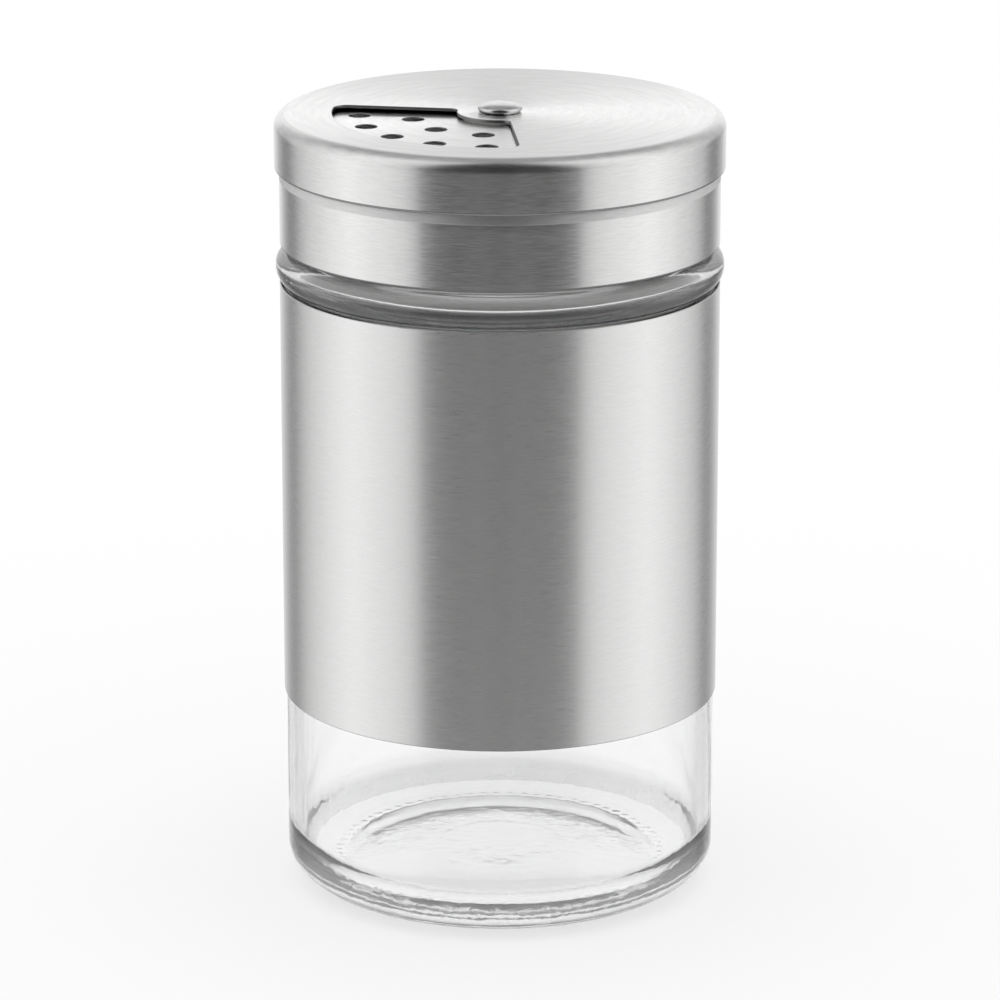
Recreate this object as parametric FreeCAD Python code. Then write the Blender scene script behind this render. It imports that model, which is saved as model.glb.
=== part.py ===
import FreeCAD, Part
import math
import os

# Spice shaker: a glass jar with a steel sleeve, a screw lid with a sieve top, and a selector cap
# that turns on a rivet to set the window over coarse holes, fine holes or blank plate.
# Millimetres. +Z is up, the origin is the middle of the jar's footprint, and -Y is the front.

# Glass jar: body, from the table up to the groove above the sleeve
body_radius = 32.15
body_height = 92.2
body_wall = 2.25
body_top_round = 1.1
heel_run = 7.05
heel_rise = 5.7
bearing_ring_width = 1.5
punt_rise = 1.7
floor_thickness = 4.3
floor_crown = 0.9
inner_heel_radius = 5.0

# Glass jar: groove, bead and threaded neck
groove_depth = 0.75
groove_height = 0.45
bead_stand_out = 0.95
bead_half_height = 2.35
neck_step = 2.85
neck_fillet = 1.3
neck_wall = 2.8
neck_height = 16.45
inner_shoulder_rise = 9.0
inner_shoulder_drop = 3.0
rim_round = 1.0

# Screw thread between the neck and the insert
thread_pitch = 4.0
thread_turns = 1.25
thread_depth = 1.0
thread_width = 2.4
thread_bury = 0.2
thread_play = 0.4
neck_thread_lift = 3.9

# Steel sleeve and the two tape bands that hold it to the glass
sleeve_height = 62.7
sleeve_thickness = 0.25
sleeve_stand_up = 0.2
tape_thickness = 0.1
tape_width = 12.0
tape_inset = 6.0

# Screw lid: pressed sheet, a skirt, a set-in collar and a sieve plate on top
lid_sheet = 0.4
lid_gap = 0.8
lid_hem_height = 1.15
collar_height = 7.3
collar_step = 0.35
shoulder_rise = 1.45
lid_corner_round = 1.35

# Plastic thread insert that is snapped into the lid and rests on its hem
insert_wall = 1.3
insert_fit = 0.05
insert_flange_thickness = 1.2
insert_mouth_reach = 2.5
insert_neck_play = 0.6
insert_lead_in = 0.15
insert_step_gap = 0.4
insert_thread_phase_share = 0.5

# Sealing ring between the jar's rim and the insert's flange
seal_thickness = 1.35
seal_reach = 0.9
seal_side_gap = 0.3

# Sieve holes: rings of coarse holes in one setting and of fine holes in the next
coarse_hole_radius = 1.6
coarse_rim_gap = 3.4
coarse_outer_count = 5
coarse_outer_spacing = 21.8
coarse_outer_turn = -1.6
coarse_ring_step = 7.8
coarse_inner_count = 3
coarse_inner_spacing = 35.6
coarse_inner_turn = 0.8
fine_hole_radius = 0.8
fine_rim_gap = 2.4
fine_ring_step = 3.7
fine_ring_count = 4
fine_outer_count = 10
fine_count_step = 2
fine_sector_angle = 78.0

# Selector cap: pressed sheet with a folded edge and one window
cap_sheet = 0.45
cap_play = 0.15
cap_hem_height = 1.3
cap_corner_run = 2.3
cap_corner_rise = 2.0
window_hole_margin = 2.4
window_neck_radius = 6.3
window_edge_offset = 0.9
window_outer_round = 2.0
window_neck_round = 1.2
window_middle_angle = -137.2
window_half_angle = 51.8
setting_angle = 120.0

# Pivot rivet, with the washers above and below the sieve plate
glide_thickness = 0.35
glide_radius = 5.4
rivet_shank_radius = 2.0
rivet_head_radius = 3.3
rivet_head_taper = 0.22
rivet_head_side = 0.45
rivet_head_dome = 0.85
rivet_head_gap = 0.05
rivet_tail_radius = 3.1
rivet_tail_height = 0.8
pivot_clearance = 0.06
fixed_hole_clearance = 0.03
spring_radius = 5.0
spring_sheet = 0.25
spring_rise = 0.3
backup_radius = 4.6
backup_thickness = 0.5

# How far a cutter runs past what it cuts
overrun = 1.0

# Radii and heights that follow from the sizes above
groove_radius = body_radius - groove_depth
inner_radius = body_radius - body_wall
bead_radius = body_radius + bead_stand_out
bead_bottom = body_height + groove_height
bead_middle = bead_bottom + bead_half_height
bead_top = bead_middle + bead_half_height
neck_radius = body_radius - neck_step
neck_bore_radius = neck_radius - neck_wall
rim_height = bead_top + neck_height
neck_thread_start = bead_top + neck_thread_lift
neck_thread_end = neck_thread_start + thread_pitch * thread_turns

sleeve_inner_radius = body_radius + tape_thickness
sleeve_outer_radius = sleeve_inner_radius + sleeve_thickness
sleeve_top = body_height + sleeve_stand_up
sleeve_bottom = sleeve_top - sleeve_height

flange_bottom = rim_height + seal_thickness
plate_bottom = flange_bottom + insert_flange_thickness
plate_top = plate_bottom + lid_sheet
cap_underside = plate_top + glide_thickness
cap_top = cap_underside + cap_sheet

insert_thread_radius = neck_radius + thread_depth + thread_play
insert_outer_radius = insert_thread_radius + insert_wall
insert_neck_radius = neck_radius + insert_neck_play
insert_mouth_radius = neck_bore_radius - insert_mouth_reach
seal_inner_radius = neck_bore_radius - seal_reach
skirt_inner_radius = insert_outer_radius + insert_fit
skirt_radius = skirt_inner_radius + lid_sheet
collar_radius = skirt_radius - collar_step
collar_inner_radius = collar_radius - lid_sheet
insert_collar_radius = collar_inner_radius - insert_fit
skirt_bottom = bead_top + lid_gap
insert_bottom = skirt_bottom + lid_hem_height
shoulder_top = plate_top - collar_height
shoulder_bottom = shoulder_top - shoulder_rise
shoulder_bend_share = math.tan(math.atan2(collar_step, shoulder_rise) / 2)
insert_thread_start = insert_bottom + thread_width / 2 + insert_lead_in
insert_step_height = neck_thread_end + thread_width / 2 + insert_step_gap

coarse_outer_ring_radius = insert_mouth_radius - coarse_rim_gap
coarse_inner_ring_radius = coarse_outer_ring_radius - coarse_ring_step
fine_outer_ring_radius = insert_mouth_radius - fine_rim_gap
window_outer_radius = coarse_outer_ring_radius + coarse_hole_radius + window_hole_margin

cap_hem_radius = collar_radius + cap_play
cap_inner_radius = cap_hem_radius + cap_sheet
cap_radius = cap_inner_radius + cap_sheet
cap_bottom = shoulder_top

rivet_head_bottom = cap_top + rivet_head_gap
spring_bottom = plate_bottom - spring_sheet - spring_rise
backup_bottom = spring_bottom - backup_thickness
rivet_bottom = backup_bottom - rivet_tail_height

ORIGIN = FreeCAD.Vector(0, 0, 0)
UP = FreeCAD.Vector(0, 0, 1)
FULL_TURN = 360.0
QUARTER_TURN_WEIGHT = math.sqrt(0.5)


class Outline:
    """A closed outline in the half plane of radius and height, drawn edge by edge."""

    def __init__(self, radius, height):
        self.start = FreeCAD.Vector(radius, 0, height)
        self.here = self.start
        self.edges = []

    def line(self, radius, height):
        """Draw a straight edge to the given point."""
        end = FreeCAD.Vector(radius, 0, height)
        self.edges.append(Part.makeLine(self.here, end))
        self.here = end

    def bend(self, corner_radius, corner_height, radius, height):
        """Round off a corner up to the given point, as a quarter ellipse where the corner is square."""
        corner = FreeCAD.Vector(corner_radius, 0, corner_height)
        end = FreeCAD.Vector(radius, 0, height)
        curve = Part.BSplineCurve()
        curve.buildFromPolesMultsKnots(
            [self.here, corner, end], (3, 3), (0, 1), False, 2, (1, QUARTER_TURN_WEIGHT, 1))
        self.edges.append(curve.toShape())
        self.here = end

    def turned(self):
        """Close the outline and turn it about the middle axis into a solid."""
        self.line(self.start.x, self.start.z)
        face = Part.Face(Part.Wire(self.edges))
        return face.revolve(ORIGIN, UP, FULL_TURN)


def flat_ring(rim_radius, hole_radius, bottom, top):
    """A flat ring, such as a washer, between two heights."""
    ring = Outline(rim_radius, bottom)
    ring.line(rim_radius, top)
    ring.line(hole_radius, top)
    ring.line(hole_radius, bottom)
    return ring.turned()


def upright_hole(radius, ring_radius, angle, bottom, top):
    """A round cutter that stands through a sheet at one place on a ring."""
    turn = math.radians(angle)
    foot = FreeCAD.Vector(ring_radius * math.cos(turn), ring_radius * math.sin(turn), bottom - overrun)
    return Part.makeCylinder(radius, top - bottom + 2 * overrun, foot)


def arc_of_holes(radius, ring_radius, count, spacing, middle_angle, bottom, top):
    """Cutters evenly spaced along a ring, centred on one direction."""
    first = middle_angle - spacing * (count - 1) / 2
    return [
        upright_hole(radius, ring_radius, first + spacing * index, bottom, top)
        for index in range(count)
    ]


def thread_ridge(root_radius, side, start_height, start_turn):
    """One round-crested helical ridge with round ends; side is 1 outwards and -1 inwards."""
    foot_radius = root_radius - side * thread_bury
    crest_radius = root_radius + side * thread_depth
    low = FreeCAD.Vector(foot_radius, 0, -thread_width / 2)
    foot = FreeCAD.Vector(foot_radius, 0, 0)
    crest = FreeCAD.Vector(crest_radius, 0, 0)
    high = FreeCAD.Vector(foot_radius, 0, thread_width / 2)
    section = Part.Wire([Part.Arc(low, crest, high).toShape(), Part.makeLine(high, low)])
    rise = thread_pitch * thread_turns
    path = Part.makeHelix(thread_pitch, rise, root_radius)
    ridge = Part.Wire(path.Edges).makePipeShell([section], True, True)

    stand = thread_depth + thread_bury
    arc_radius = ((thread_width / 2) ** 2 + stand ** 2) / (2 * stand)
    quarter = math.atan(2 * stand / thread_width)
    between = FreeCAD.Vector(
        crest_radius - side * arc_radius * (1 - math.cos(quarter)), 0, arc_radius * math.sin(quarter))
    half_section = Part.Face(Part.Wire([
        Part.Arc(crest, between, high).toShape(), Part.makeLine(high, foot), Part.makeLine(foot, crest)]))
    outward = FreeCAD.Vector(side, 0, 0)
    first_end = half_section.revolve(foot, outward, side * FULL_TURN / 2)
    last_end = half_section.revolve(foot, outward, -side * FULL_TURN / 2)
    last_end.rotate(ORIGIN, UP, FULL_TURN * thread_turns)
    last_end.translate(FreeCAD.Vector(0, 0, rise))
    ridge = ridge.fuse([first_end, last_end])
    ridge.rotate(ORIGIN, UP, FULL_TURN * start_turn)
    ridge.translate(FreeCAD.Vector(0, 0, start_height))
    return ridge


def glass_jar():
    """Blown jar: rounded heel, pushed-up base, bead under the lid and a threaded neck."""
    ring_outer = body_radius - heel_run
    ring_inner = ring_outer - bearing_ring_width
    jar = Outline(0, punt_rise)
    jar.bend(ring_inner / 2, punt_rise, ring_inner, 0)
    jar.line(ring_outer, 0)
    jar.bend(body_radius, 0, body_radius, heel_rise)
    jar.line(body_radius, body_height - body_top_round)
    jar.bend(body_radius, body_height, groove_radius, body_height)
    jar.line(groove_radius, bead_bottom)
    jar.bend(bead_radius, bead_bottom, bead_radius, bead_middle)
    jar.bend(bead_radius, bead_top, neck_radius + neck_fillet, bead_top)
    jar.bend(neck_radius, bead_top, neck_radius, bead_top + neck_fillet)
    jar.line(neck_radius, rim_height - rim_round)
    jar.bend(neck_radius, rim_height, neck_radius - rim_round, rim_height)
    jar.line(neck_bore_radius + rim_round, rim_height)
    jar.bend(neck_bore_radius, rim_height, neck_bore_radius, rim_height - rim_round)

    body_end = bead_bottom - inner_shoulder_drop
    neck_foot = body_end + inner_shoulder_rise
    shoulder_middle_radius = (inner_radius + neck_bore_radius) / 2
    shoulder_middle_height = (body_end + neck_foot) / 2
    corner_rise = inner_shoulder_rise / 3
    jar.line(neck_bore_radius, neck_foot)
    jar.bend(neck_bore_radius, neck_foot - corner_rise, shoulder_middle_radius, shoulder_middle_height)
    jar.bend(inner_radius, body_end + corner_rise, inner_radius, body_end)

    floor_edge = inner_radius - inner_heel_radius
    floor_middle = floor_thickness + floor_crown
    jar.line(inner_radius, floor_thickness + inner_heel_radius)
    jar.bend(inner_radius, floor_thickness, floor_edge, floor_thickness)
    jar.bend(floor_edge / 2, floor_middle, 0, floor_middle)
    return jar.turned().fuse(thread_ridge(neck_radius, 1, neck_thread_start, 0)).removeSplitter()


def steel_sleeve():
    """Thin rolled sleeve round the middle of the jar."""
    return flat_ring(sleeve_outer_radius, sleeve_inner_radius, sleeve_bottom, sleeve_top)


def sleeve_tapes():
    """Two bands of double-sided tape between the glass and the sleeve."""
    lower = sleeve_bottom + tape_inset
    upper = sleeve_top - tape_inset - tape_width
    return {
        "sleeve_tape_lower": flat_ring(sleeve_inner_radius, body_radius, lower, lower + tape_width),
        "sleeve_tape_upper": flat_ring(sleeve_inner_radius, body_radius, upper, upper + tape_width),
    }


def sieve_holes():
    """Cutters for the coarse setting under the window and for the fine setting beside it."""
    cutters = arc_of_holes(
        coarse_hole_radius, coarse_outer_ring_radius, coarse_outer_count, coarse_outer_spacing,
        window_middle_angle + coarse_outer_turn, plate_bottom, plate_top)
    cutters += arc_of_holes(
        coarse_hole_radius, coarse_inner_ring_radius, coarse_inner_count, coarse_inner_spacing,
        window_middle_angle + coarse_inner_turn, plate_bottom, plate_top)
    for ring in range(fine_ring_count):
        count = fine_outer_count - fine_count_step * ring
        cutters += arc_of_holes(
            fine_hole_radius, fine_outer_ring_radius - fine_ring_step * ring, count,
            fine_sector_angle / (count - 1), window_middle_angle + setting_angle, plate_bottom, plate_top)
    return cutters


def screw_lid():
    """Pressed steel lid: hemmed skirt, a sloping shoulder, collar and sieve plate."""
    hem_radius = skirt_inner_radius - lid_sheet
    hem_top = skirt_bottom + lid_hem_height
    inner_round = lid_corner_round - lid_sheet
    bend_drop = lid_sheet * shoulder_bend_share
    lid = Outline(hem_radius, skirt_bottom + lid_sheet)
    lid.bend(hem_radius, skirt_bottom, hem_radius + lid_sheet, skirt_bottom)
    lid.bend(skirt_radius, skirt_bottom, skirt_radius, skirt_bottom + lid_sheet)
    lid.line(skirt_radius, shoulder_bottom)
    lid.line(collar_radius, shoulder_top)
    lid.line(collar_radius, plate_top - lid_corner_round)
    lid.bend(collar_radius, plate_top, collar_radius - lid_corner_round, plate_top)
    lid.line(rivet_shank_radius + fixed_hole_clearance, plate_top)
    lid.line(rivet_shank_radius + fixed_hole_clearance, plate_bottom)
    lid.line(collar_inner_radius - inner_round, plate_bottom)
    lid.bend(collar_inner_radius, plate_bottom, collar_inner_radius, plate_bottom - inner_round)
    lid.line(collar_inner_radius, shoulder_top - bend_drop)
    lid.line(skirt_inner_radius, shoulder_bottom - bend_drop)
    lid.line(skirt_inner_radius, hem_top)
    lid.line(hem_radius, hem_top)
    return lid.turned().cut(sieve_holes())


def thread_insert():
    """Moulded plastic insert with the female thread, the mouth flange and the seal's seat."""
    inner_round = lid_corner_round - lid_sheet + insert_fit
    bend_drop = (lid_sheet + insert_fit) * shoulder_bend_share
    insert = Outline(insert_thread_radius, insert_bottom)
    insert.line(insert_outer_radius, insert_bottom)
    insert.line(insert_outer_radius, shoulder_bottom - bend_drop)
    insert.line(insert_collar_radius, shoulder_top - bend_drop)
    insert.line(insert_collar_radius, plate_bottom - inner_round)
    insert.bend(insert_collar_radius, plate_bottom, insert_collar_radius - inner_round, plate_bottom)
    insert.line(insert_mouth_radius, plate_bottom)
    insert.line(insert_mouth_radius, flange_bottom)
    insert.line(insert_neck_radius, flange_bottom)
    insert.line(insert_neck_radius, insert_step_height)
    insert.line(insert_thread_radius, insert_step_height)

    start_turn = (insert_thread_start - neck_thread_start) / thread_pitch - insert_thread_phase_share
    ridge = thread_ridge(insert_thread_radius, -1, insert_thread_start, start_turn)
    ridge_room = Part.makeCylinder(
        insert_thread_radius + thread_bury, rim_height, FreeCAD.Vector(0, 0, skirt_bottom))
    return insert.turned().fuse(ridge.common(ridge_room)).removeSplitter()


def sealing_ring():
    """Flat silicone ring that the insert's flange presses onto the jar's rim."""
    return flat_ring(insert_neck_radius - seal_side_gap, seal_inner_radius, rim_height, flange_bottom)


def window_cutter():
    """Fan-shaped prism for the cap's window, with its two straight edges set off from the axis."""
    half = math.radians(window_half_angle)
    outer_run = math.sqrt(window_outer_radius ** 2 - window_edge_offset ** 2)
    neck_run = math.sqrt(window_neck_radius ** 2 - window_edge_offset ** 2)

    def edge_point(run, side):
        """A point on one of the straight edges, where side is 1 or -1."""
        along = run * math.cos(half) - window_edge_offset * math.sin(half)
        across = run * math.sin(half) + window_edge_offset * math.cos(half)
        return FreeCAD.Vector(along, side * across, cap_underside - overrun)

    outer_middle = FreeCAD.Vector(window_outer_radius, 0, cap_underside - overrun)
    neck_middle = FreeCAD.Vector(window_neck_radius, 0, cap_underside - overrun)
    outline = Part.Wire([
        Part.Arc(edge_point(outer_run, -1), outer_middle, edge_point(outer_run, 1)).toShape(),
        Part.makeLine(edge_point(outer_run, 1), edge_point(neck_run, 1)),
        Part.Arc(edge_point(neck_run, 1), neck_middle, edge_point(neck_run, -1)).toShape(),
        Part.makeLine(edge_point(neck_run, -1), edge_point(outer_run, -1)),
    ])
    prism = Part.Face(outline).extrude(FreeCAD.Vector(0, 0, cap_sheet + 2 * overrun))
    middle_radius = (window_outer_radius + window_neck_radius) / 2

    def corners(outer):
        """The upright edges at the window's outer corners, or at its neck."""
        upright = [edge for edge in prism.Edges if edge.BoundBox.ZLength > cap_sheet]
        return [
            edge for edge in upright
            if (math.hypot(edge.CenterOfMass.x, edge.CenterOfMass.y) > middle_radius) == outer
        ]

    prism = prism.makeFillet(window_outer_round, corners(True))
    prism = prism.makeFillet(window_neck_round, corners(False))
    prism.rotate(ORIGIN, UP, window_middle_angle)
    return prism


def selector_cap():
    """Pressed steel cap with a folded edge, turned by hand on the rivet."""
    corner_low = cap_top - cap_corner_rise
    corner_in = cap_radius - cap_corner_run
    hem_top = cap_bottom + cap_hem_height
    hole_radius = rivet_shank_radius + pivot_clearance
    cap = Outline(cap_hem_radius, cap_bottom + cap_sheet)
    cap.bend(cap_hem_radius, cap_bottom, cap_inner_radius, cap_bottom)
    cap.bend(cap_radius, cap_bottom, cap_radius, cap_bottom + cap_sheet)
    cap.line(cap_radius, corner_low)
    cap.bend(cap_radius, cap_top, corner_in, cap_top)
    cap.line(hole_radius, cap_top)
    cap.line(hole_radius, cap_underside)
    cap.line(corner_in, cap_underside)
    cap.bend(cap_inner_radius, cap_underside, cap_inner_radius, corner_low)
    cap.line(cap_inner_radius, hem_top)
    cap.line(cap_hem_radius, hem_top)
    return cap.turned().cut(window_cutter())


def pivot_rivet():
    """Steel rivet: domed head on the cap, shank through both plates, upset tail underneath."""
    head_foot_radius = rivet_head_radius - rivet_head_taper
    head_wide = rivet_head_bottom + rivet_head_side
    dome_top = head_wide + rivet_head_dome
    rivet = Outline(0, rivet_bottom)
    rivet.line(rivet_tail_radius, rivet_bottom)
    rivet.line(rivet_tail_radius, backup_bottom)
    rivet.line(rivet_shank_radius, backup_bottom)
    rivet.line(rivet_shank_radius, rivet_head_bottom)
    rivet.line(head_foot_radius, rivet_head_bottom)
    rivet.line(rivet_head_radius, head_wide)
    rivet.bend(rivet_head_radius, dome_top, 0, dome_top)
    return rivet.turned()


def glide_washer():
    """Thin plastic washer that keeps the cap off the sieve plate round the rivet."""
    return flat_ring(glide_radius, rivet_shank_radius + fixed_hole_clearance, plate_top, cap_underside)


def disc_spring():
    """Coned spring washer under the sieve plate that pulls the cap down and holds its setting."""
    hole_radius = rivet_shank_radius + fixed_hole_clearance
    spring = Outline(spring_radius, plate_bottom)
    spring.line(spring_radius, plate_bottom - spring_sheet)
    spring.line(hole_radius, spring_bottom)
    spring.line(hole_radius, spring_bottom + spring_sheet)
    return spring.turned()


def backup_washer():
    """Flat washer between the disc spring and the rivet's tail."""
    return flat_ring(backup_radius, rivet_shank_radius + fixed_hole_clearance, backup_bottom, spring_bottom)


pieces = {
    "glass_jar": glass_jar(),
    "steel_sleeve": steel_sleeve(),
    "screw_lid": screw_lid(),
    "thread_insert": thread_insert(),
    "sealing_ring": sealing_ring(),
    "selector_cap": selector_cap(),
    "pivot_rivet": pivot_rivet(),
    "glide_washer": glide_washer(),
    "disc_spring": disc_spring(),
    "backup_washer": backup_washer(),
}
pieces.update(sleeve_tapes())

os.makedirs("parts", exist_ok=True)
for name, shape in pieces.items():
    shape.exportStep("parts/" + name + ".step")
    print(name, len(shape.Solids), "solid", shape.isValid(), round(shape.Volume, 2))
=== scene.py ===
import math

import bpy
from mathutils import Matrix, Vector


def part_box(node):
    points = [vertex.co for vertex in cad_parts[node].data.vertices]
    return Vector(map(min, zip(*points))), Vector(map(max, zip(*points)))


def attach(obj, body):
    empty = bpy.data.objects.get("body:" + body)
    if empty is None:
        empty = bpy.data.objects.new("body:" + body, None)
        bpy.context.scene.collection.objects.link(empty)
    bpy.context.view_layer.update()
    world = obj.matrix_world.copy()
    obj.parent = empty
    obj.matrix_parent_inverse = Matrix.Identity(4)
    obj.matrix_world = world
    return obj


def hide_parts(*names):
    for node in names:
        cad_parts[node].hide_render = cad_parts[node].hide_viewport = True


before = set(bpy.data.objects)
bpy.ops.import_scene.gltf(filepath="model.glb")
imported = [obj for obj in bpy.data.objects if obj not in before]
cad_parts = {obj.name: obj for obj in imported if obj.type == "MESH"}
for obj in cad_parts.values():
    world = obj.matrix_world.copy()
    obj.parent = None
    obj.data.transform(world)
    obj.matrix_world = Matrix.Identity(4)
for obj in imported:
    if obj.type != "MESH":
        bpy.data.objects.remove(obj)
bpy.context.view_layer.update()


# Glass jar
# A blown soda glass jar: rounded heel, pushed-up base, a bead under the lid and a screw neck.
# It stands on a narrow ring that is stippled so that it doesn't stick to the lehr belt.

jar_low, jar_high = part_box("glass_jar")
sleeve_low, sleeve_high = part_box("steel_sleeve")

glass_radius = 0.03215
glass_wall = 0.00225
groove_radius = 0.0314
body_top_round = 0.0011
sleeve_stand_up = 0.0002
groove_height = 0.00045
groove_bottom = sleeve_high.z - sleeve_stand_up
groove_top = groove_bottom + groove_height
bead_radius = 0.0331
bead_half_height = 0.00235
bead_middle = groove_top + bead_half_height
bead_top = bead_middle + bead_half_height
neck_radius = 0.0293
neck_bore = 0.0265
neck_fillet = 0.0013
rim_height = jar_high.z
rim_round = 0.001
inner_shoulder_rise = 0.009
inner_shoulder_drop = 0.003
heel_run = 0.00705
heel_rise = 0.0057
bearing_width = 0.0015
punt_rise = 0.0017
mould_mark_radius = 0.0095
mould_mark_height = 0.00003
mould_mark_flat_share = 0.6
punt_corner_share = 0.75
floor_height = 0.0043
floor_crown = 0.0009
inner_heel = 0.005
stipple_count = 72
stipple_depth = 0.00014
stipple_reach = 0.0025
glass_ior = 1.5
glass_tint_low = (0.965, 0.968, 0.967, 1)
glass_tint_high = (0.985, 0.987, 0.986, 1)
relief_strength = 0.25
relief_height = 0.0002
wave_scale = 200.0
wave_stretch = 0.15
ripple_scale = 320.0
ripple_top = 0.012
ripple_share = 1.2
heel_ripple_share = 2.8
ripple_roughness = 0.07
haze_top = 0.0095
haze_scale = 170.0
haze_contrast = (0.35, 0.65)
wall_haze = 0.01
floor_haze = 0.035
heel_haze = 0.2
patch_haze = 0.04
bead_haze = 0.025
bead_top_haze = 0.32

thread_pitch = 0.004
thread_turns = 1.25
thread_depth = 0.001
thread_width = 0.0027
thread_crest_power = 0.75
thread_fade = 0.08
thread_lift = 0.0039
thread_start = bead_top + thread_lift

STEPS_AROUND = 288
WELD_DISTANCE = 1e-6
WALL_TOLERANCE = 5e-5


def bent(start, corner, end, steps=8):
    """Points of a quarter ellipse from start to end, rounding off the corner; start is left out."""
    points = []
    for step in range(1, steps + 1):
        turn = math.pi / 2 * step / steps
        along, across = 1 - math.cos(turn), 1 - math.sin(turn)
        radius = end[0] + (start[0] - corner[0]) * across + (corner[0] - end[0]) * (1 - along)
        height = end[1] + (start[1] - corner[1]) * across + (corner[1] - end[1]) * (1 - along)
        points.append((radius, height))
    return points


def straight(start, end, steps):
    """Evenly spaced points from start to end; start is left out."""
    return [
        (start[0] + (end[0] - start[0]) * step / steps, start[1] + (end[1] - start[1]) * step / steps)
        for step in range(1, steps + 1)
    ]


def new_tree(name, inputs):
    """An empty geometry tree with a Geometry socket and the named inputs."""
    tree = bpy.data.node_groups.new(name, "GeometryNodeTree")
    tree.interface.new_socket("Geometry", in_out="INPUT", socket_type="NodeSocketGeometry")
    for label, kind in inputs:
        tree.interface.new_socket(label, in_out="INPUT", socket_type="NodeSocket" + kind)
    tree.interface.new_socket("Geometry", in_out="OUTPUT", socket_type="NodeSocketGeometry")
    return tree, tree.nodes.new("NodeGroupInput").outputs


def add(tree, kind, *sources, **settings):
    """Add a node, fill its inputs in order with values or sockets, and return its first output."""
    made = tree.nodes.new(kind)
    for name, value in settings.items():
        setattr(made, name, value)
    sockets = [socket for socket in made.inputs if socket.enabled]
    for socket, source in zip(sockets, sources):
        if isinstance(source, bpy.types.NodeSocket):
            tree.links.new(source, socket)
        elif source is not None:
            socket.default_value = source
    return [socket for socket in made.outputs if socket.enabled][0]


def math_node(tree, operation, *sources):
    """A Math node, in a geometry tree or a material alike."""
    return add(tree, "ShaderNodeMath", *sources, operation=operation)


def distance_out(tree, x, y):
    """The distance from the Z axis."""
    squares = math_node(tree, "MULTIPLY", x, x), math_node(tree, "MULTIPLY", y, y)
    return math_node(tree, "SQRT", math_node(tree, "ADD", *squares))


def mixed(tree, share, low, high):
    """The colour that lies at a share of the way from low to high."""
    return add(tree, "ShaderNodeMix", share, low, high, data_type="RGBA")


def close_tree(tree, geometry, material):
    """End a geometry tree in Realize Instances and Set Material."""
    real = add(tree, "GeometryNodeRealizeInstances", geometry)
    finished = add(tree, "GeometryNodeSetMaterial", real, None, material)
    tree.links.new(finished, tree.nodes.new("NodeGroupOutput").inputs[0])


def turning_tree():
    """Turns an outline of radius and height about the Z axis into a closed shell."""
    tree, given = new_tree("Turned shell", [("Steps Around", "Int"), ("Material", "Material")])
    sizes = tree.nodes.new("GeometryNodeAttributeDomainSize")
    tree.links.new(given["Geometry"], sizes.inputs["Geometry"])
    columns = add(tree, "FunctionNodeIntegerMath", given["Steps Around"], 1, operation="ADD")
    grid = add(tree, "GeometryNodeMeshGrid", 1.0, 1.0, sizes.outputs["Point Count"], columns)
    index = add(tree, "GeometryNodeInputIndex")
    row = add(tree, "FunctionNodeIntegerMath", index, columns, operation="DIVIDE_FLOOR")
    column = add(tree, "FunctionNodeIntegerMath", index, columns, operation="MODULO")
    place = add(tree, "GeometryNodeInputPosition")
    point = add(tree, "GeometryNodeSampleIndex", given["Geometry"], place, row, data_type="FLOAT_VECTOR")
    parts = tree.nodes.new("ShaderNodeSeparateXYZ")
    tree.links.new(point, parts.inputs[0])
    share = math_node(tree, "DIVIDE", column, given["Steps Around"])
    turn = math_node(tree, "MULTIPLY", share, -2 * math.pi)
    across = math_node(tree, "MULTIPLY", parts.outputs["X"], math_node(tree, "COSINE", turn))
    away = math_node(tree, "MULTIPLY", parts.outputs["X"], math_node(tree, "SINE", turn))
    turned = add(tree, "ShaderNodeCombineXYZ", across, away, parts.outputs["Z"])
    shell = add(tree, "GeometryNodeSetPosition", grid, None, turned)
    merged = add(tree, "GeometryNodeMergeByDistance", shell, None, WELD_DISTANCE)
    smooth = add(tree, "GeometryNodeSetShadeSmooth", merged, None, True)
    close_tree(tree, smooth, given["Material"])
    return tree


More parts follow.
